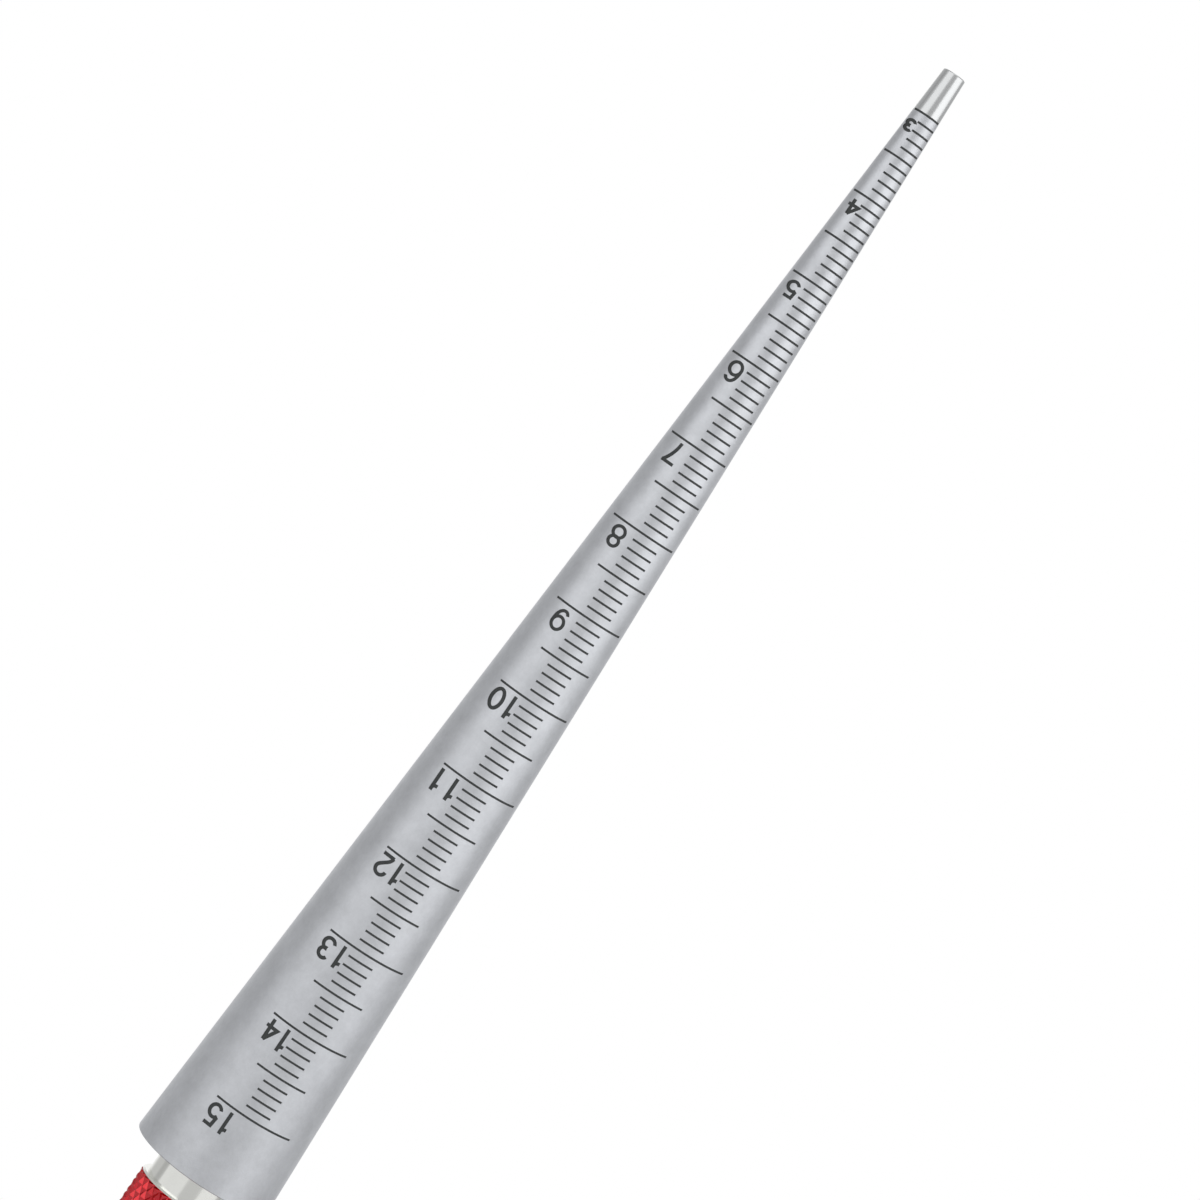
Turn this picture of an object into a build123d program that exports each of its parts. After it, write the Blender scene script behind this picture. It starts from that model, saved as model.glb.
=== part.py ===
"""Taper gauge: a graduated steel cone that reads the size of a hole, on a round handle.

The gauge stands on the flat end of its handle. +Z runs up its axis to the tip and the
origin is the middle of the handle's end. The scale faces -Y. Sizes are in millimetres.
"""

import os
from math import ceil, floor, radians, sin

from build123d import *

# Cone
TIP_DIAMETER = 2.5
BASE_DIAMETER = 15.83
TAPER = 0.1  # growth of the diameter for each millimetre of length
TIP_EDGE = 0.1
BASE_EDGE = 0.1

# Neck and tang behind the cone
NECK_DIAMETER = 9.0
NECK_LENGTH = 3.2
TANG_DIAMETER = 6.0
TANG_LENGTH = 30.0
TANG_EDGE = 0.5

# Handle
HANDLE_DIAMETER = 10.4
HANDLE_LENGTH = 70.0
HANDLE_TOP_EDGE = 0.35
HANDLE_END_EDGE = 0.6
BORE_SPARE_DEPTH = 2.0

# Scale
TIP_MARGIN = 0.4  # bare diameter at the tip, before the first whole millimetre
BASE_MARGIN = 0.5  # bare diameter at the base, after the last whole millimetre
STEPS_PER_MM = 10
LINE_WIDTH = 0.22
TENTH_LENGTH = 2.8
HALF_LENGTH = 5.65
WHOLE_LENGTH = 8.5
LINE_CENTRE = 0.93  # the lines are centred this far to the right of the front
REACH = radians(64)  # how far round the cone a line may go, to each side of the front

# Numerals
PAIR_STROKE = 0.37  # width of the strokes in a number of two digits
SINGLE_STROKE = 0.33
NUMERAL_HEIGHT = 2.5
NUMERAL_WIDTH = 1.5
NUMERAL_PITCH = 1.7  # from one digit to the next in a number of two digits
NUMERAL_DROP = 1.69  # from a whole line down to the middle of its numeral
NUMERAL_OFFSET = 1.94  # the numerals are centred this far to the left of the front
SMALL_NUMERALS = {
    3: (1.06, 1.45, 0.9),
    4: (1.3, 1.85, 1.0),
    5: (1.35, 2.0, 1.4),
    6: (1.5, 2.5, 1.51),
}  # width, height and offset where the cone is too narrow for the full size

# Engraving
ENGRAVING_DEPTH = 0.08
PAINT_RECESS = 0.02  # the paint lies this far below the cone's surface
CUTTER_CLEARANCE = 1.0

CONE_LENGTH = (BASE_DIAMETER - TIP_DIAMETER) / TAPER
BASE_HEIGHT = HANDLE_LENGTH + NECK_LENGTH
TIP_HEIGHT = BASE_HEIGHT + CONE_LENGTH
FIRST_NUMBER = ceil(TIP_DIAMETER + TIP_MARGIN)
LAST_NUMBER = floor(BASE_DIAMETER - BASE_MARGIN)

NUMERAL_PLANE = Plane(origin=(0, 0, 0), x_dir=(-1, 0, 0), z_dir=(0, -1, 0))


def height_of(diameter):
    """Height at which the cone has this diameter."""
    return BASE_HEIGHT + (BASE_DIAMETER - diameter) / TAPER


def digit_strokes(digit, x, width, height, stroke_width):
    """Centre lines of one digit's strokes, which fill a box about (x, 0)."""
    w = (width - stroke_width) / 2
    h = (height - stroke_width) / 2
    cut_end = stroke_width / (2 * h)  # takes a straight stroke's end out to the digit's edge

    def at(across, up):
        return (x + across * w, up * h)

    def bowl(up, radius, start=0, size=360, half_width=1.0):
        return EllipticalCenterArc(
            at(0, up), half_width * w, radius * h, start_angle=start, arc_size=size
        )

    strokes = {
        0: lambda: [bowl(0, 1)],
        1: lambda: [
            Bezier(at(-0.5, 0.58), at(0, 0.58), at(0.25, 0.66), at(0.37, 0.85)),
            Line(at(0.37, 1 + cut_end), at(0.37, -1 - cut_end)),
        ],
        2: lambda: [
            bowl(0.45, 0.55, start=175, size=-175),
            Bezier(at(1, 0.45), at(1, -0.1), at(-0.8, -0.3), at(-0.95, -1)),
            Line(at(-1.1, -1), at(1.1, -1)),
        ],
        3: lambda: [
            bowl(0.51, 0.49, start=152, size=-252, half_width=0.9),
            bowl(-0.45, 0.55, start=100, size=-265),
        ],
        4: lambda: [
            Line(at(0.4, 1), at(0.4, -1 - cut_end)),
            Polyline(at(0.4, 1), at(-1.05, -0.38), at(1.15, -0.38)),
        ],
        5: lambda: [
            Polyline(at(0.85, 1), at(-0.65, 1), at(-0.85, 0.05)),
            bowl(-0.38, 0.62, start=145, size=-300),
        ],
        6: lambda: [
            bowl(-0.37, 0.63, start=180),
            Bezier(at(-1, -0.37), at(-1, 0.5), at(-0.6, 1), at(0.1, 1), at(0.6, 1), at(0.85, 0.6)),
        ],
        7: lambda: [
            Line(at(-1.1, 1), at(1.1, 1)),
            Bezier(at(0.9, 1), at(0.1, 0.4), at(-0.35, -0.4), at(-0.42, -1 - cut_end)),
        ],
        8: lambda: [bowl(0.52, 0.48, half_width=0.88), bowl(-0.45, 0.55)],
        9: lambda: [
            bowl(0.37, 0.63),
            Bezier(at(1, 0.37), at(1, -0.5), at(0.6, -1), at(-0.1, -1), at(-0.6, -1), at(-0.85, -0.6)),
        ],
    }
    return strokes[digit]()


def revolved(points):
    """Solid of revolution about Z from an outline of (radius, height) points."""
    with BuildPart(mode=Mode.PRIVATE) as turned:
        with BuildSketch(Plane.XZ):
            with BuildLine():
                Polyline(*points, close=True)
            make_face()
        revolve(axis=Axis.Z)
    return turned.part


def cone_layer(inner, outer):
    """Layer along the cone, from inner to outer millimetres off its surface."""
    low, high = BASE_DIAMETER / 2, TIP_DIAMETER / 2
    return revolved(
        [
            (low + inner, BASE_HEIGHT),
            (low + outer, BASE_HEIGHT),
            (high + outer, TIP_HEIGHT),
            (high + inner, TIP_HEIGHT),
        ]
    )


def line_blanks(steps, length):
    """Bars through the cone's front, one for each line of the scale in steps."""
    with BuildPart(mode=Mode.PRIVATE) as bars:
        with BuildSketch(Plane.XZ):
            for step in steps:
                diameter = step / STEPS_PER_MM
                limit = diameter / 2 * sin(REACH)
                left = max(LINE_CENTRE - length / 2, -limit)
                right = min(LINE_CENTRE + length / 2, limit)
                with Locations(((left + right) / 2, height_of(diameter))):
                    Rectangle(right - left, LINE_WIDTH)
        extrude(amount=BASE_DIAMETER / 2 + CUTTER_CLEARANCE)
    return bars.part


def stroke_width_of(number):
    """Width of the strokes of a numeral."""
    return PAIR_STROKE if number >= 10 else SINGLE_STROKE


def numeral_strokes(number):
    """Centre lines of a numeral's strokes. It is centred by what is inked, not by its cells."""
    full_size = (NUMERAL_WIDTH, NUMERAL_HEIGHT, NUMERAL_OFFSET)
    width, height, offset = SMALL_NUMERALS.get(number, full_size)
    strokes = []
    for place, digit in enumerate(str(number)):
        strokes += digit_strokes(
            int(digit), place * NUMERAL_PITCH, width, height, stroke_width_of(number)
        )
    boxes = [stroke.bounding_box() for stroke in strokes]
    middle = (min(box.min.X for box in boxes) + max(box.max.X for box in boxes)) / 2
    seat = Location((offset - middle, NUMERAL_DROP - height_of(number)))
    return [stroke.moved(seat) for stroke in strokes]


def numeral_blanks(numbers):
    """Bars in the shape of the digits. They read upright with the handle up."""
    strokes = {number: numeral_strokes(number) for number in numbers}
    with BuildPart(mode=Mode.PRIVATE) as bars:
        with BuildSketch(NUMERAL_PLANE):
            for number in numbers:
                for stroke in strokes[number]:
                    trace(stroke, line_width=stroke_width_of(number))
        extrude(amount=BASE_DIAMETER / 2 + CUTTER_CLEARANCE)
    return bars.part


all_steps = range(FIRST_NUMBER * STEPS_PER_MM, LAST_NUMBER * STEPS_PER_MM + 1)
whole_steps = [step for step in all_steps if step % STEPS_PER_MM == 0]
half_steps = [step for step in all_steps if step % STEPS_PER_MM == STEPS_PER_MM // 2]
tenth_steps = [step for step in all_steps if step % (STEPS_PER_MM // 2) != 0]

blanks = {
    "whole_lines": line_blanks(whole_steps, WHOLE_LENGTH),
    "half_lines": line_blanks(half_steps, HALF_LENGTH),
    "tenth_lines": line_blanks(tenth_steps, TENTH_LENGTH),
    "numerals": numeral_blanks(range(FIRST_NUMBER, LAST_NUMBER + 1)),
}

os.makedirs("parts", exist_ok=True)

# One turned piece: the cone, the neck and the tang inside the handle
with BuildPart() as gauge_body:
    add(
        revolved(
            [
                (0, HANDLE_LENGTH - TANG_LENGTH),
                (TANG_DIAMETER / 2 - TANG_EDGE, HANDLE_LENGTH - TANG_LENGTH),
                (TANG_DIAMETER / 2, HANDLE_LENGTH - TANG_LENGTH + TANG_EDGE),
                (TANG_DIAMETER / 2, HANDLE_LENGTH),
                (NECK_DIAMETER / 2, HANDLE_LENGTH),
                (NECK_DIAMETER / 2, BASE_HEIGHT),
                (BASE_DIAMETER / 2 - BASE_EDGE, BASE_HEIGHT),
                (BASE_DIAMETER / 2 - TAPER / 2 * BASE_EDGE, BASE_HEIGHT + BASE_EDGE),
                (TIP_DIAMETER / 2 + TAPER / 2 * TIP_EDGE, TIP_HEIGHT - TIP_EDGE),
                (TIP_DIAMETER / 2 - TIP_EDGE, TIP_HEIGHT),
                (0, TIP_HEIGHT),
            ]
        )
    )
    cut_layer = cone_layer(-ENGRAVING_DEPTH, CUTTER_CLEARANCE)
    for blank in blanks.values():
        add(blank & cut_layer, mode=Mode.SUBTRACT)
gauge_body.part.label = "gauge_body"
export_step(gauge_body.part, "parts/gauge_body.step")

# Round handle, pressed onto the tang
with BuildPart() as handle:
    with BuildSketch():
        Circle(HANDLE_DIAMETER / 2)
    extrude(amount=HANDLE_LENGTH)
    rims = handle.edges().filter_by(GeomType.CIRCLE).sort_by(Axis.Z)
    chamfer(rims[0], HANDLE_END_EDGE)
    chamfer(handle.edges().filter_by(GeomType.CIRCLE).sort_by(Axis.Z)[-1], HANDLE_TOP_EDGE)
    with Locations((0, 0, HANDLE_LENGTH)):
        Hole(TANG_DIAMETER / 2, depth=TANG_LENGTH + BORE_SPARE_DEPTH)
handle.part.label = "handle"
export_step(handle.part, "parts/handle.step")

# Black paint in the engraving
paint_layer = cone_layer(-ENGRAVING_DEPTH, -PAINT_RECESS)
for name, blank in blanks.items():
    with BuildPart() as paint:
        add(blank & paint_layer)
    paint.part.label = name
    export_step(paint.part, f"parts/{name}.step")
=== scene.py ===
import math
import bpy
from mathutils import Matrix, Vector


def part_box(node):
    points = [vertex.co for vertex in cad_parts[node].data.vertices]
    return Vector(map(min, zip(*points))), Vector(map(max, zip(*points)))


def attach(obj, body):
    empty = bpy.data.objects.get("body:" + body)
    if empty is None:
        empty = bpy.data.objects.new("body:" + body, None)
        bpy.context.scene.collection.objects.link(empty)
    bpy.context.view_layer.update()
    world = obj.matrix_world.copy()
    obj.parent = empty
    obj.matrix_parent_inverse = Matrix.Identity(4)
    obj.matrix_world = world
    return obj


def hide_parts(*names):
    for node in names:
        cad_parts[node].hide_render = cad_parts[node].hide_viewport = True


bl_info = {
    "name": "Taper gauge",
    "version": (1, 0, 0),
    "blender": (4, 5, 0),
    "location": "View3D > Sidebar > Gauge",
    "description": (
        "Dresses a taper gauge: engraved satin cone, bright neck and tip, "
        "knurled red handle"
    ),
    "category": "Object",
}

import bmesh
import bpy
from bpy.props import FloatProperty, FloatVectorProperty, IntProperty, PointerProperty
from bpy.types import Operator, Panel, PropertyGroup
from mathutils import Matrix, Vector

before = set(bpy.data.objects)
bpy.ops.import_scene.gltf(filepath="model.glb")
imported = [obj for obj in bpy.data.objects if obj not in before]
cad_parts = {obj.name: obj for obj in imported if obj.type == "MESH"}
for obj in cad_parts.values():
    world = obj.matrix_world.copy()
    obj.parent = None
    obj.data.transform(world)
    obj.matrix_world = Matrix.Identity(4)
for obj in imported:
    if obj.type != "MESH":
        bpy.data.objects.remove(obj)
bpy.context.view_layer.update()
MM = 0.001
PAINT_NODES = ("whole_lines", "half_lines", "tenth_lines", "numerals")
SAME_HEIGHT_DIGITS = 6  # heights that agree to a micrometre are one height
TINY = 1e-6  # a length in metres that counts as none


def rings_of(node):
    """The CAD node's circles about the axis, as sorted (height, largest radius)."""
    widest = {}
    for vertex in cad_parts[node].data.vertices:
        height = round(vertex.co.z, SAME_HEIGHT_DIGITS)
        widest[height] = max(widest.get(height, 0.0), vertex.co.xy.length)
    return sorted(widest.items())


# Sizes of the turned forms, read from the CAD nodes
BODY_RINGS = rings_of("gauge_body")
BASE_RADIUS = max(radius for height, radius in BODY_RINGS)
BASE_EDGE_HEIGHT = next(height for height, radius in BODY_RINGS if radius == BASE_RADIUS)
BASE_HEIGHT = max(height for height, radius in BODY_RINGS if height < BASE_EDGE_HEIGHT)
HANDLE_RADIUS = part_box("handle")[1].x
HANDLE_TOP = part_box("handle")[1].z
NECK_RADIUS = next(radius for height, radius in BODY_RINGS if abs(height - HANDLE_TOP) < TINY)
TANG_FOOT, TANG_FOOT_RADIUS = BODY_RINGS[0]
TANG_RADIUS = BODY_RINGS[1][1]
TIP_HEIGHT, TIP_FACE_RADIUS = BODY_RINGS[-1]
TIP_EDGE_HEIGHT, TIP_RADIUS = BODY_RINGS[-2]
TAPER = (BASE_RADIUS - TIP_RADIUS) / (TIP_EDGE_HEIGHT - BASE_EDGE_HEIGHT)
APEX_HEIGHT = TIP_EDGE_HEIGHT + TIP_RADIUS / TAPER


def cone_radius(height):
    """Radius of the cone at a height."""
    return (APEX_HEIGHT - height) * TAPER


def length(name, description, default):
    """Property that holds a length, in metres."""
    return FloatProperty(
        name=name, description=description, default=default, unit="LENGTH", precision=5
    )


def colour(name, description, default):
    """Property that holds a colour."""
    return FloatVectorProperty(
        name=name, description=description, default=default, subtype="COLOR", size=3
    )


class GaugeSettings(PropertyGroup):
    """Sizes of the fine detail, and the finishes."""

    facets: IntProperty(
        name="Facets", description="Flats around a turned surface", default=256, min=32
    )
    bright_tip: length(
        "Bright tip", "Length at the tip that is polished, with no satin", 5.0 * MM
    )
    edge_round: length("Edge round", "Rounding of the cone's rear edge", 0.12 * MM)
    engraving_depth: length("Engraving depth", "Depth of the lines and numerals", 0.08 * MM)
    knurl_around: IntProperty(
        name="Knurl count", description="Diamonds around the handle", default=30, min=12
    )
    knurl_pitch: length("Knurl pitch", "Length of one diamond along the handle", 1.65 * MM)
    knurl_depth: length("Knurl depth", "Depth of the grooves between the diamonds", 0.28 * MM)
    end_groove: length(
        "End groove", "Width of the groove between the knurl and the chamfers", 0.15 * MM
    )
    plain_end: length("Plain end", "Height of the chamfer at the handle's foot", 0.6 * MM)
    plain_top: length("Plain top", "Height of the chamfer at the handle's top", 0.25 * MM)
    chrome: colour("Chrome", "Colour of the satin cone", (0.64, 0.655, 0.685))
    # Darker cut steel: the engraving's own colour, and on the cone's rear edge painted shade, a
    # dark line under the rim.
    cut: colour(
        "Cut steel",
        "Colour of the cut steel in the engraving and on the cone's rear edge",
        (0.3, 0.31, 0.32),
    )
    polished: colour("Polished metal", "Colour of the polished tip", (0.64, 0.65, 0.655))
    bright: colour(
        "Bright metal",
        "Colour of the polished neck and the handle's turned edges",
        (0.9, 0.905, 0.87),
    )
    anodised: colour("Anodised red", "Colour of the handle", (0.666, 0.016, 0.025))
    paint: colour("Paint", "Colour of the filled engraving", (0.018, 0.02, 0.02))


def settings():
    """The gauge's settings in the present scene."""
    return bpy.context.scene.gauge


class Nodes:
    """Adds nodes to a tree and links them by socket name."""

    def __init__(self, tree):
        self.tree = tree
        tree.nodes.clear()

    def add(self, kind, inputs=None, **values):
        """New node. Its inputs take a value or another node's socket."""
        node = self.tree.nodes.new(kind)
        for name, value in values.items():
            setattr(node, name, value)
        for socket, value in (inputs or {}).items():
            if isinstance(value, bpy.types.NodeSocket):
                self.tree.links.new(value, node.inputs[socket])
            else:
                node.inputs[socket].default_value = value
        return node

    def math(self, operation, first, second=0.0):
        """Result of one sum."""
        return self.add("ShaderNodeMath", {0: first, 1: second}, operation=operation).outputs[0]

    def place(self):
        """Place on the object."""
        return self.add("ShaderNodeTexCoord").outputs["Object"]

    def mixed_colour(self, share, first, second):
        """Colour between two others, by a share from 0 to 1."""
        inputs = {0: share, 6: (*first, 1.0), 7: (*second, 1.0)}
        return self.add("ShaderNodeMix", inputs, data_type="RGBA").outputs[2]


def new_material(name):
    """New material, and the helper that fills its node tree."""
    material = bpy.data.materials.new(name)
    material.use_nodes = True
    return material, Nodes(material.node_tree)


def fine_grain_group():
    """Shared finish: fine grain in the normal, and roughness that wanders a little."""
    name = "Fine grain"
    if name in bpy.data.node_groups:
        return bpy.data.node_groups[name]
    group = bpy.data.node_groups.new(name, "ShaderNodeTree")
    defaults = {
        "Roughness": 0.3,
        "Wander": 0.05,
        "Grain size": 0.1 * MM,
        "Around the axis": 1.0,
        "Relief": 0.1,
    }
    for socket_name, default in defaults.items():
        socket = group.interface.new_socket(
            name=socket_name, in_out="INPUT", socket_type="NodeSocketFloat"
        )
        socket.default_value = default
    for socket_name, kind in (("Roughness", "NodeSocketFloat"), ("Normal", "NodeSocketVector")):
        group.interface.new_socket(name=socket_name, in_out="OUTPUT", socket_type=kind)
    nodes = Nodes(group)
    given = nodes.add("NodeGroupInput").outputs
    place = nodes.place()
    scale = nodes.math("DIVIDE", 1.0, given["Grain size"])
    stretch = nodes.add("ShaderNodeCombineXYZ", {0: 1.0, 1: 1.0, 2: given["Around the axis"]})
    squeezed = nodes.add(
        "ShaderNodeVectorMath", {0: place, 1: stretch.outputs[0]}, operation="MULTIPLY"
    )
    grain = nodes.add(
        "ShaderNodeTexNoise",
        {"Vector": squeezed.outputs[0], "Scale": scale, "Detail": 3.0, "Roughness": 0.6},
    )
    handling = nodes.add(
        "ShaderNodeTexNoise", {"Vector": place, "Scale": 60.0, "Detail": 4.0, "Roughness": 0.7}
    )
    roughness = given["Roughness"]
    for noise in (handling, grain):
        middle = 0.5
        swing = nodes.math("SUBTRACT", noise.outputs["Fac"], middle)
        swing = nodes.math("MULTIPLY", swing, given["Wander"])
        roughness = nodes.math("ADD", roughness, swing)
    bump = nodes.add(
        "ShaderNodeBump",
        {"Strength": given["Relief"], "Distance": 0.02 * MM, "Height": grain.outputs["Fac"]},
    )
    nodes.add("NodeGroupOutput", {"Roughness": roughness, "Normal": bump.outputs["Normal"]})
    return group


def metal(
    name,
    base,
    *,
    roughness,
    wander,
    grain_size,
    around,
    relief,
    tint,
    coat=0.0,
    edge=(1.0, 1.0, 1.0),
):
    """Metal with fine grain.

    Roughness changes by wander from place to place. Around is how much longer the grain is
    around the axis than along it, and relief is how far it stands out. Tint is how much the
    colour differs from cloud to cloud, and edge is the tint of what the metal mirrors at a
    glancing angle.
    """
    material, nodes = new_material(name)
    grain = nodes.add(
        "ShaderNodeGroup",
        node_tree=fine_grain_group(),
    )
    grain_inputs = {
        "Roughness": roughness,
        "Wander": wander,
        "Grain size": grain_size,
        "Around the axis": around,
        "Relief": relief,
    }
    for socket, value in grain_inputs.items():
        grain.inputs[socket].default_value = value
    cloud = nodes.add(
        "ShaderNodeTexNoise",
        {"Vector": nodes.place(), "Scale": 300.0, "Detail": 4.0, "Roughness": 0.85},
    )
    darker, lighter = (
        [min(channel * (1 + side * tint / 2), 1.0) for channel in base] for side in (-1, 1)
    )
    surface = nodes.add(
        "ShaderNodeBsdfPrincipled",
        {
            "Base Color": nodes.mixed_colour(cloud.outputs["Fac"], darker, lighter),
            "Metallic": 1.0,
            "Roughness": grain.outputs["Roughness"],
            "Normal": grain.outputs["Normal"],
            "Specular Tint": (*edge, 1.0),
            "Coat Weight": coat,
            "Coat Roughness": 0.1,
        },
    )
    nodes.add("ShaderNodeOutputMaterial", {"Surface": surface.outputs[0]})
    return material


def paint_material():
    """Matt black paint, a little uneven where it was wiped off the cone."""
    material, nodes = new_material("black_paint_finish")
    wiped = nodes.add(
        "ShaderNodeTexNoise", {"Vector": nodes.place(), "Scale": 4000.0, "Detail": 3.0}
    ).outputs["Fac"]
    full = settings().paint
    wear = 3  # how many times paler the paint is where it is worn
    worn = [channel * wear for channel in full]
    bump = nodes.add("ShaderNodeBump", {"Strength": 0.3, "Distance": 0.01 * MM, "Height": wiped})
    surface = nodes.add(
        "ShaderNodeBsdfPrincipled",
        {
            "Base Color": nodes.mixed_colour(wiped, full, worn),
            "Roughness": 0.6,
            "Normal": bump.outputs["Normal"],
        },
    )
    nodes.add("ShaderNodeOutputMaterial", {"Surface": surface.outputs[0]})
    return material


def new_piece(name, mesh, slot, *stands_for):
    """Links a piece, lets it ride on the one body and hides what it stands for."""
    piece = bpy.data.objects.new(name, mesh)
    bpy.context.scene.collection.objects.link(piece)
    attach(piece, "root")
    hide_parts(*stands_for)


def object_from(name, made):
    """Linked object from a bmesh, which is freed."""
    mesh = bpy.data.meshes.new(name)
    made.to_mesh(mesh)
    made.free()
    made_object = bpy.data.objects.new(name, mesh)
    bpy.context.scene.collection.objects.link(made_object)
    return made_object


def even_angles(count):
    """Angles of points that are evenly spaced around the axis."""
    return [2 * math.pi * step / count for step in range(count)]


def circle(made, radius, height, angles):
    """Vertices about Z, one at each angle."""
    return [made.verts.new((radius * math.cos(a), radius * math.sin(a), height)) for a in angles]


def bridge(made, lower, upper):
    """Faces between two loops of the same count, which are returned."""
    return [
        made.faces.new((lower[i - 1], lower[i], upper[i], upper[i - 1])) for i in range(len(lower))
    ]


def lathe(outline, facets):
    """bmesh turned about Z from (radius, height, material) points, closed at radius 0."""
    turned = bmesh.new()
    rows = []
    for radius, height, _ in outline:
        if radius == 0:
            rows.append([turned.verts.new((0, 0, height))] * facets)
        else:
            rows.append(circle(turned, radius, height, even_angles(facets)))
    for (lower, upper), (_, _, material) in zip(zip(rows, rows[1:]), outline[1:]):
        for step in range(facets):
            after = (step + 1) % facets
            corners = (lower[step], lower[after], upper[after], upper[step])
            face = turned.faces.new(list(dict.fromkeys(corners)))
            face.material_index = material
            face.smooth = True
    return turned


def arc(centre, radius, start, end, steps):
    """Points (radius, height) of an arc in the turning plane, angles in degrees."""
    points = []
    for step in range(steps + 1):
        angle = math.radians(start + (end - start) * step / steps)
        points.append((centre[0] + radius * math.cos(angle), centre[1] + radius * math.sin(angle)))
    return points


# Material slots of the turned body
FINISHES = range(4)
SATIN, TIP, NECK, CUT_STEEL_AND_RIM_SHADE = FINISHES
RIM_STEPS = 6
# The first rim steps from the back face on take the darker cut steel as painted shade, a dark line
# under the rim.
RIM_PAINTED_SHADE_STEPS = 4  # steps of the rim, from the back face on, that have no satin


def body_outline():
    """Outline of the turned body, from the foot of the tang to the tip."""
    size = settings()
    rim_height = BASE_HEIGHT + size.edge_round
    rim_centre = (cone_radius(rim_height) - size.edge_round, rim_height)
    back_edge, *rim = arc(rim_centre, size.edge_round, -90, 0, RIM_STEPS)
    tang_edge = TANG_RADIUS - TANG_FOOT_RADIUS
    tip_start = TIP_HEIGHT - size.bright_tip
    return [
        (0, TANG_FOOT, NECK),
        (TANG_FOOT_RADIUS, TANG_FOOT, NECK),
        (TANG_RADIUS, TANG_FOOT + tang_edge, NECK),
        (TANG_RADIUS, HANDLE_TOP, NECK),
        (NECK_RADIUS, HANDLE_TOP, NECK),
        (NECK_RADIUS, BASE_HEIGHT, NECK),
        (*back_edge, NECK),
        # Painted shade: the rear edge's first rim steps take the darker cut steel finish.
        *((radius, height, CUT_STEEL_AND_RIM_SHADE) for radius, height in rim[:RIM_PAINTED_SHADE_STEPS]),
        *((radius, height, SATIN) for radius, height in rim[RIM_PAINTED_SHADE_STEPS:]),
        (cone_radius(tip_start), tip_start, SATIN),
        (TIP_RADIUS, TIP_EDGE_HEIGHT, TIP),
        (TIP_FACE_RADIUS, TIP_HEIGHT, TIP),
        (0, TIP_HEIGHT, TIP),
    ]


def engraving_cutter():
    """Cutter in the shape of the paint, standing out past the cone's surface."""
    cutter = bmesh.new()
    for node in PAINT_NODES:
        cutter.from_mesh(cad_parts[node].data)
    bmesh.ops.remove_doubles(cutter, verts=cutter.verts, dist=TINY / 2)
    depth = settings().engraving_depth
    stand_out = 0.3 * MM
    for vertex in cutter.verts:
        surface = cone_radius(vertex.co.z)
        outer = vertex.co.xy.length > surface - depth / 2
        radius = surface + stand_out if outer else surface - depth
        vertex.co.xy *= radius / vertex.co.xy.length
    bmesh.ops.recalc_face_normals(cutter, faces=cutter.faces)
    for face in cutter.faces:
        face.material_index = CUT_STEEL_AND_RIM_SHADE
    return cutter


def engrave(body, cutter):
    """Cuts the engraving out of the body and returns the mesh."""
    cut = body.modifiers.new("engraving", "BOOLEAN")
    cut.operation = "DIFFERENCE"
    cut.solver = "EXACT"
    cut.material_mode = "INDEX"
    cut.object = cutter
    graph = bpy.context.evaluated_depsgraph_get()
    mesh = bpy.data.meshes.new_from_object(body.evaluated_get(graph))
    bpy.data.objects.remove(body)
    bpy.data.objects.remove(cutter)
    return mesh


def turned_normals(mesh):
    """Gives every turned face the normals of the true surface, so that it shades round."""
    level = 1e-3  # a face whose normal leans out less than this is square to the axis
    normals = []
    for polygon in mesh.polygons:
        slope = Vector((polygon.normal.xy.length, polygon.normal.z)).normalized()
        for corner in polygon.loop_indices:
            place = mesh.vertices[mesh.loops[corner].vertex_index].co
            around = place.xy.length
            if polygon.material_index == CUT_STEEL_AND_RIM_SHADE or slope.x < level or around < TINY:
                normals.append(polygon.normal.copy())
            else:
                outward = place.xy / around
                normals.append(Vector((outward.x * slope.x, outward.y * slope.x, slope.y)))
    mesh.normals_split_custom_set(normals)


class GAUGE_OT_body(Operator):
    """Turns the cone, neck and tang, and engraves the scale into the cone"""

    bl_idname = "gauge.body"
    bl_label = "Engraved body"

    def execute(self, context):
        size = settings()
        plain = object_from("turned_body", lathe(body_outline(), size.facets))
        cutter = object_from("engraving_cutter", engraving_cutter())
        for solid in (plain, cutter):
            for _ in FINISHES:
                solid.data.materials.append(None)
        mesh = engrave(plain, cutter)
        mesh.name = "engraved_cone"
        mesh.materials[SATIN] = metal(
            "satin_chrome",
            size.chrome,
            roughness=0.45,
            wander=0.1,
            grain_size=0.14 * MM,
            around=1.0,
            relief=0.8,
            tint=0.42,
        )
        mesh.materials[TIP] = metal(
            "polished_tip",
            size.polished,
            roughness=0.25,
            wander=0.03,
            grain_size=0.08 * MM,
            around=6.0,
            relief=0.05,
            tint=0.02,
        )
        mesh.materials[NECK] = metal(
            "bright_neck",
            size.bright,
            roughness=0.16,
            wander=0.03,
            grain_size=0.08 * MM,
            around=6.0,
            relief=0.06,
            tint=0.02,
        )
        # Cut steel finish: the engraving's own colour, and painted shade as the dark line on the
        # cone's rear edge.
        mesh.materials[CUT_STEEL_AND_RIM_SHADE] = metal(
            "cut_steel_and_painted_rim_shade",
            size.cut,
            roughness=0.35,
            wander=0.05,
            grain_size=0.05 * MM,
            around=1.0,
            relief=0.2,
            tint=0.1,
        )
        turned_normals(mesh)
        new_piece("engraved_cone", mesh, "satin_steel", "gauge_body")
        return {"FINISHED"}


class GAUGE_OT_scale(Operator):
    """Paints the lines and numerals in the engraving"""

    bl_idname = "gauge.scale"
    bl_label = "Painted scale"

    def execute(self, context):
        paint = paint_material()
        for name in PAINT_NODES:
            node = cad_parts[name]
            if not node.material_slots:
                node.data.materials.append(paint)
            for slot in node.material_slots:
                slot.material = paint
        return {"FINISHED"}


CREST = 0.16  # share of a diamond of the knurl that is left flat


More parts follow.
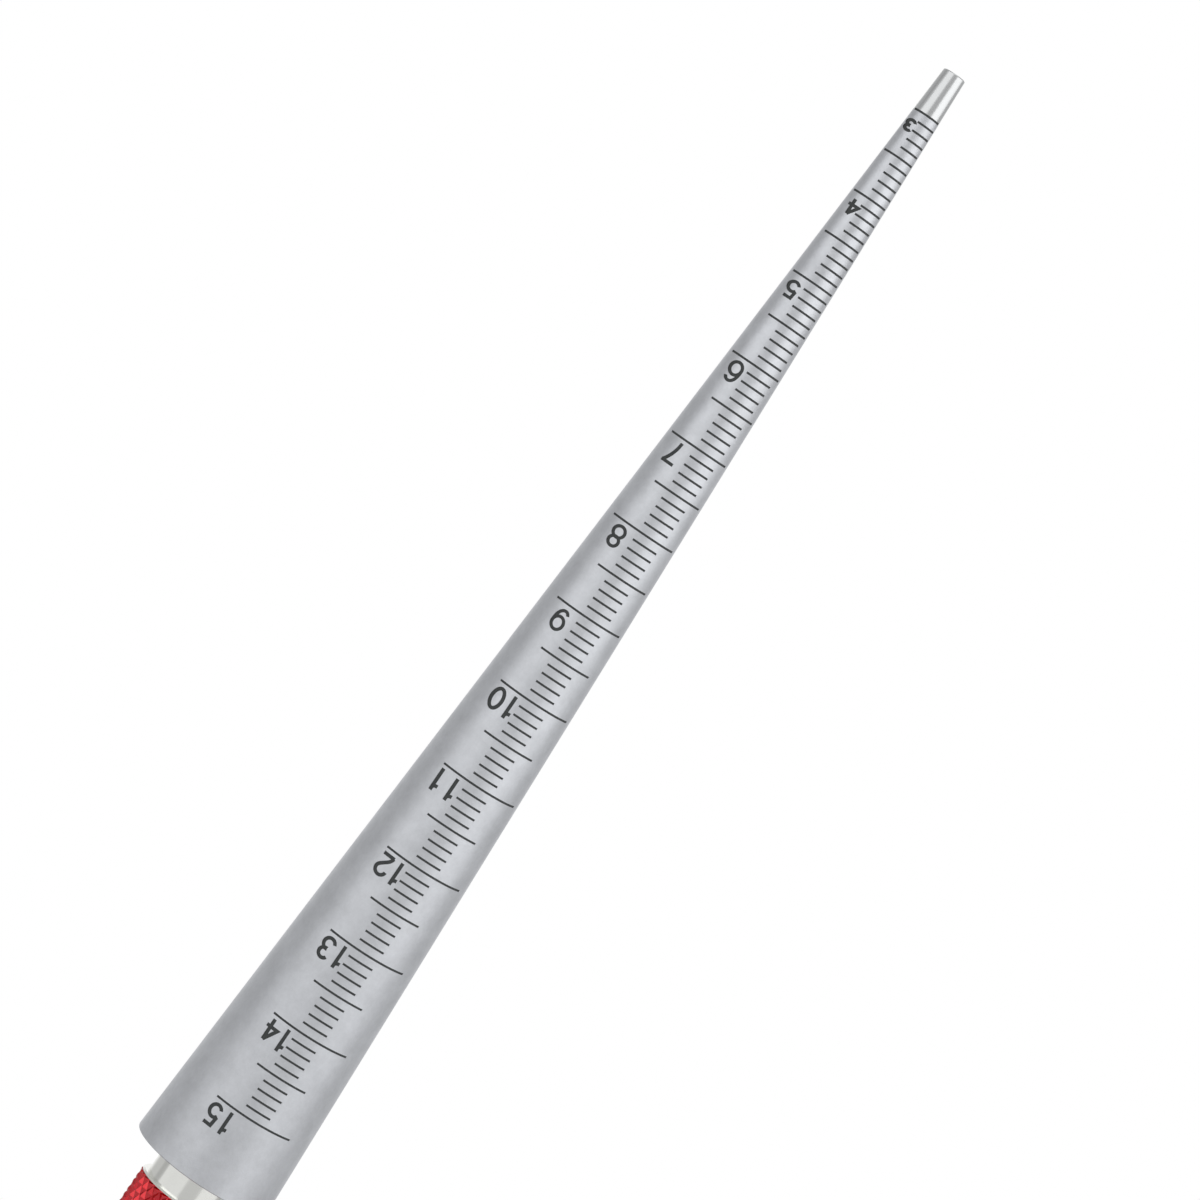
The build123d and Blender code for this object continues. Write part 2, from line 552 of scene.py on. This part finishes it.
def knurled_band(made, low, high):
    """Diamond knurl from low to high. Returns the bottom and the top edge loops."""
    size = settings()
    count = size.knurl_around
    rows = 2 * max(1, round((high - low) / size.knurl_pitch))
    step = (high - low) / rows
    turn = 2 * math.pi / count
    valley = HANDLE_RADIUS - size.knurl_depth

    def point(across, up, radius=HANDLE_RADIUS):
        """Vertex at a position counted in diamonds around."""
        angle = across * turn
        return made.verts.new((radius * math.cos(angle), radius * math.sin(angle), up))

    def shift(row):
        """Every other row is half a diamond further round."""
        return 0.5 * (row % 2)

    crossings = [
        [point(i + shift(row), low + row * step, valley) for i in range(count)]
        for row in range(rows + 1)
    ]

    def crossing(row, position):
        """Crossing of two grooves at a position counted in diamonds around."""
        return crossings[row][round(position - shift(row)) % count]

    bottom, top = [], []
    for row in range(rows + 1):
        for i in range(count):
            middle = i + 0.5 - shift(row)
            z = low + row * step
            left = crossing(row, middle - 0.5)
            right = crossing(row, middle + 0.5)
            crest_left = point(middle - CREST / 2, z)
            crest_right = point(middle + CREST / 2, z)
            above = below = None
            if row < rows:
                above = crossing(row + 1, middle)
                crest_above = point(middle, z + CREST * step)
                made.faces.new((right, above, crest_above, crest_right))
                made.faces.new((above, left, crest_left, crest_above))
            if row > 0:
                below = crossing(row - 1, middle)
                crest_below = point(middle, z - CREST * step)
                made.faces.new((left, below, crest_below, crest_left))
                made.faces.new((below, right, crest_right, crest_below))
            if above and below:
                made.faces.new((crest_left, crest_below, crest_right, crest_above))
            elif above:
                made.faces.new((crest_left, crest_right, crest_above))
                bottom += [left, crest_left, crest_right]
            else:
                made.faces.new((crest_left, crest_below, crest_right))
                top += [left, crest_left, crest_right]
    return bottom, top


def knurled_handle():
    """bmesh of the handle: knurl, end grooves, and chamfered ends in the second material."""
    size = settings()
    made = bmesh.new()
    groove = size.end_groove
    foot, shoulder = size.plain_end, HANDLE_TOP - size.plain_top
    bottom, top = knurled_band(made, foot + groove, shoulder - groove)
    sunk = HANDLE_RADIUS - 2 * groove
    edge = HANDLE_RADIUS - 0.5 * groove

    def ring(loop, radius, height):
        """Circle with a vertex at the angle of each vertex of the loop."""
        angles = [math.atan2(vertex.co.y, vertex.co.x) for vertex in loop]
        return circle(made, radius, height, angles)

    end = ring(bottom, HANDLE_RADIUS - size.plain_end, 0.0)
    foot_edge = ring(bottom, edge, foot - 0.5 * groove)
    foot_groove = ring(bottom, sunk, foot)
    top_groove = ring(top, sunk, shoulder)
    top_edge = ring(top, edge, shoulder + 0.5 * groove)
    top_face = ring(top, HANDLE_RADIUS - size.plain_top, HANDLE_TOP)
    mouth = ring(top, TANG_RADIUS, HANDLE_TOP)
    bridge(made, foot_groove, bottom)
    bridge(made, top, top_groove)
    bridge(made, foot_edge, foot_groove)
    bridge(made, top_groove, top_edge)
    turned = bridge(made, end, foot_edge)
    turned += bridge(made, top_edge, top_face)
    turned += bridge(made, top_face, mouth)
    turned.append(made.faces.new(end[::-1]))
    for face in turned:
        face.material_index = 1
    bmesh.ops.recalc_face_normals(made, faces=made.faces)
    return made


class GAUGE_OT_handle(Operator):
    """Knurls the round handle and chamfers its ends"""

    bl_idname = "gauge.handle"
    bl_label = "Knurled handle"

    def execute(self, context):
        size = settings()
        made = knurled_handle()
        mesh = bpy.data.meshes.new("knurled_handle")
        made.to_mesh(mesh)
        made.free()
        red = metal(
            "red_anodised_finish",
            size.anodised,
            roughness=0.2,
            wander=0.1,
            grain_size=0.06 * MM,
            around=1.0,
            relief=0.25,
            tint=0.2,
            coat=1.0,
            edge=(0.04, 0.01, 0.01),
        )
        bright = metal(
            "bright_edge",
            size.bright,
            roughness=0.18,
            wander=0.04,
            grain_size=0.08 * MM,
            around=6.0,
            relief=0.1,
            tint=0.03,
        )
        for finish in (red, bright):
            mesh.materials.append(finish)
        new_piece("knurled_handle", mesh, "red_anodised", "handle")
        return {"FINISHED"}


# Camera, as the picture was taken: square to the cone, turned a little to the left of the
# scale, and rolled so that the tip points up to the right. Angles are in degrees
CAMERA_AZIMUTH = -3.5
CAMERA_FROM_APEX = 64.13 * MM
CAMERA_ASIDE = 0.51 * MM
CAMERA_DISTANCE = 401.96 * MM
CAMERA_PITCH = -3.41
CAMERA_ROLL = 34.51
FOCAL_PIXELS = 4014.2
PICTURE_PIXELS = 1200
SENSOR = 36.0


def place_camera():
    """Camera at the picture's viewing angle."""
    turn = math.radians(CAMERA_AZIMUTH)
    right = Vector((math.cos(turn), math.sin(turn), 0))
    up = Vector((0, 0, 1))
    back = right.cross(up)
    upright = Matrix((right, up, back)).transposed()
    pitch = Matrix.Rotation(math.radians(CAMERA_PITCH), 3, right)
    roll = Matrix.Rotation(math.radians(CAMERA_ROLL), 3, "Z")
    axis_point = Vector((0, 0, APEX_HEIGHT - CAMERA_FROM_APEX))
    place = axis_point + right * CAMERA_ASIDE + back * CAMERA_DISTANCE
    data = bpy.data.cameras.new("camera")
    data.sensor_width = SENSOR
    data.lens = FOCAL_PIXELS / PICTURE_PIXELS * SENSOR
    data.clip_start = 0.01
    data.clip_end = 100
    camera = bpy.data.objects.new("camera", data)
    bpy.context.scene.collection.objects.link(camera)
    camera.matrix_world = Matrix.Translation(place) @ (pitch @ upright @ roll).to_4x4()
    bpy.context.scene.camera = camera


# Area lamps: name, direction from the front in degrees, height above the floor, distance
# from the axis, width and height of the lamp, and radiance
SOFTBOXES = (
    ("left_softbox", -38, 0.36, 0.8, 0.87, 0.62, 0.66),
    ("right_softbox", 66, 0.39, 0.8, 1.04, 0.68, 0.95),
    ("left_low_card", -48, -0.35, 0.8, 1.25, 0.55, 0.24),
    ("right_low_card", 53, -0.35, 0.8, 0.8, 0.55, 0.32),
    ("front_card", 11, 0.12, 0.8, 0.3, 0.2, 0.3),
    ("top_card", 0, 1.2, 0.05, 0.5, 0.5, 0.5),
)
AIM_HEIGHT = 0.14  # the lamps face this height on the axis
ROOM_LIGHT = 0.55
# Dark flags in the room: direction from the front in degrees, half width and share of the
# room's light that they take away
FLAGS = ((-98, 8, 0.22), (84, 3, 0.3))
FLAG_EDGE = 3.0  # degrees over which a flag fades out
FLOOR_RADIUS = 0.17
FLOOR_SEGMENTS = 96
FLOOR_FADE = (0.15, 0.97)  # shares of the radius between which the floor turns white


def place_softboxes():
    """Area lamps and bounce cards around the gauge."""
    for name, direction, height, distance, width, tall, radiance in SOFTBOXES:
        lamp = bpy.data.lights.new(name, "AREA")
        lamp.shape = "RECTANGLE"
        lamp.size = width
        lamp.size_y = tall
        lamp.energy = radiance * math.pi * width * tall
        box = bpy.data.objects.new(name, lamp)
        bpy.context.scene.collection.objects.link(box)
        turn = math.radians(direction + CAMERA_AZIMUTH)
        box.location = (distance * math.sin(turn), -distance * math.cos(turn), height)
        aim = Vector((0, 0, AIM_HEIGHT)) - box.location
        box.rotation_euler = aim.to_track_quat("-Z", "Y").to_euler()


def room_light(nodes, around):
    """Light of the grey room by the direction around the gauge, less its dark flags."""
    light = ROOM_LIGHT
    for middle, half_width, share in FLAGS:
        off_middle = nodes.math("ABSOLUTE", nodes.math("SUBTRACT", around, middle))
        kept = nodes.add(
            "ShaderNodeMapRange",
            {
                "Value": off_middle,
                "From Min": half_width,
                "From Max": half_width + FLAG_EDGE,
                "To Min": 1.0 - share,
                "To Max": 1.0,
            },
        ).outputs[0]
        light = nodes.math("MULTIPLY", light, kept)
    return light


def white_background():
    """The world is white to the camera and behind the gauge, and a grey room elsewhere."""
    world = bpy.data.worlds.new("studio")
    bpy.context.scene.world = world
    world.use_nodes = True
    nodes = Nodes(world.node_tree)
    direction = nodes.add("ShaderNodeTexCoord").outputs["Generated"]
    across, forward, _ = nodes.add("ShaderNodeSeparateXYZ", {0: direction}).outputs
    backward = nodes.math("MULTIPLY", forward, -1.0)
    around = nodes.math("DEGREES", nodes.math("ARCTAN2", across, backward))
    behind = nodes.add(
        "ShaderNodeMapRange", {"Value": forward, "From Min": 0.75, "From Max": 0.97}
    ).outputs[0]
    path = nodes.add("ShaderNodeLightPath").outputs
    mirrored = nodes.math("MULTIPLY", path["Is Glossy Ray"], behind)
    seen = nodes.math("MAXIMUM", path["Is Camera Ray"], path["Is Transmission Ray"])
    white = nodes.math("MAXIMUM", seen, mirrored)
    strength = nodes.add(
        "ShaderNodeMapRange", {"Value": white, "To Min": room_light(nodes, around), "To Max": 1.0}
    ).outputs[0]
    background = nodes.add("ShaderNodeBackground", {"Color": (1, 1, 1, 1), "Strength": strength})
    nodes.add("ShaderNodeOutputWorld", {"Surface": background.outputs[0]})


def floor_material():
    """Pale and matt. To the camera it fades to white at the edge, and is clear from below."""
    material, nodes = new_material("pale_floor")
    surface = nodes.add(
        "ShaderNodeBsdfPrincipled", {"Base Color": (0.86, 0.86, 0.86, 1), "Roughness": 0.7}
    )
    white = nodes.add("ShaderNodeEmission", {"Color": (1, 1, 1, 1), "Strength": 1.0})
    off_middle = nodes.add("ShaderNodeVectorMath", {0: nodes.place()}, operation="LENGTH")
    fade_start, fade_end = FLOOR_FADE
    fade = nodes.add(
        "ShaderNodeMapRange",
        {
            "Value": off_middle.outputs["Value"],
            "From Min": fade_start * FLOOR_RADIUS,
            "From Max": fade_end * FLOOR_RADIUS,
        },
        interpolation_type="SMOOTHSTEP",
    ).outputs[0]
    seen = nodes.add("ShaderNodeLightPath").outputs["Is Camera Ray"]
    faded = nodes.add(
        "ShaderNodeMixShader",
        {0: nodes.math("MULTIPLY", fade, seen), 1: surface.outputs[0], 2: white.outputs[0]},
    )
    below = nodes.add("ShaderNodeNewGeometry").outputs["Backfacing"]
    clear = nodes.add("ShaderNodeBsdfTransparent")
    mixed = nodes.add(
        "ShaderNodeMixShader",
        {0: nodes.math("MULTIPLY", below, seen), 1: faded.outputs[0], 2: clear.outputs[0]},
    )
    nodes.add("ShaderNodeOutputMaterial", {"Surface": mixed.outputs[0]})
    return material


def floor():
    """Round floor about the handle's foot. The outer circle comes first, so that it faces up."""
    made = bmesh.new()
    angles = even_angles(FLOOR_SEGMENTS)
    outer = circle(made, FLOOR_RADIUS, 0, angles)
    inner = circle(made, HANDLE_RADIUS - settings().plain_end, 0, angles)
    bridge(made, outer, inner)
    disc = object_from("floor", made)
    disc.data.materials.append(floor_material())


class GAUGE_OT_stage(Operator):
    """Sets the floor, the lamps, the white background and the camera"""

    bl_idname = "gauge.stage"
    bl_label = "Stage"

    def execute(self, context):
        context.scene.view_settings.view_transform = "Standard"
        floor()
        white_background()
        place_softboxes()
        place_camera()
        return {"FINISHED"}


class GAUGE_PT_panel(Panel):
    """Lists the gauge's sizes and its steps"""

    bl_label = "Taper gauge"
    bl_idname = "GAUGE_PT_panel"
    bl_space_type = "VIEW_3D"
    bl_region_type = "UI"
    bl_category = "Gauge"

    def draw(self, context):
        for name in GaugeSettings.__annotations__:
            self.layout.prop(context.scene.gauge, name)
        for step in STEPS:
            self.layout.operator(step.bl_idname)


STEPS = (GAUGE_OT_body, GAUGE_OT_scale, GAUGE_OT_handle, GAUGE_OT_stage)
CLASSES = (GaugeSettings, *STEPS, GAUGE_PT_panel)


def register():
    for listed in CLASSES:
        bpy.utils.register_class(listed)
    bpy.types.Scene.gauge = PointerProperty(type=GaugeSettings)


def unregister():
    del bpy.types.Scene.gauge
    for listed in reversed(CLASSES):
        bpy.utils.unregister_class(listed)


def main():
    register()
    bpy.ops.gauge.body()
    bpy.ops.gauge.scale()
    bpy.ops.gauge.handle()
    bpy.ops.gauge.stage()


if __name__ == "__main__":
    main()
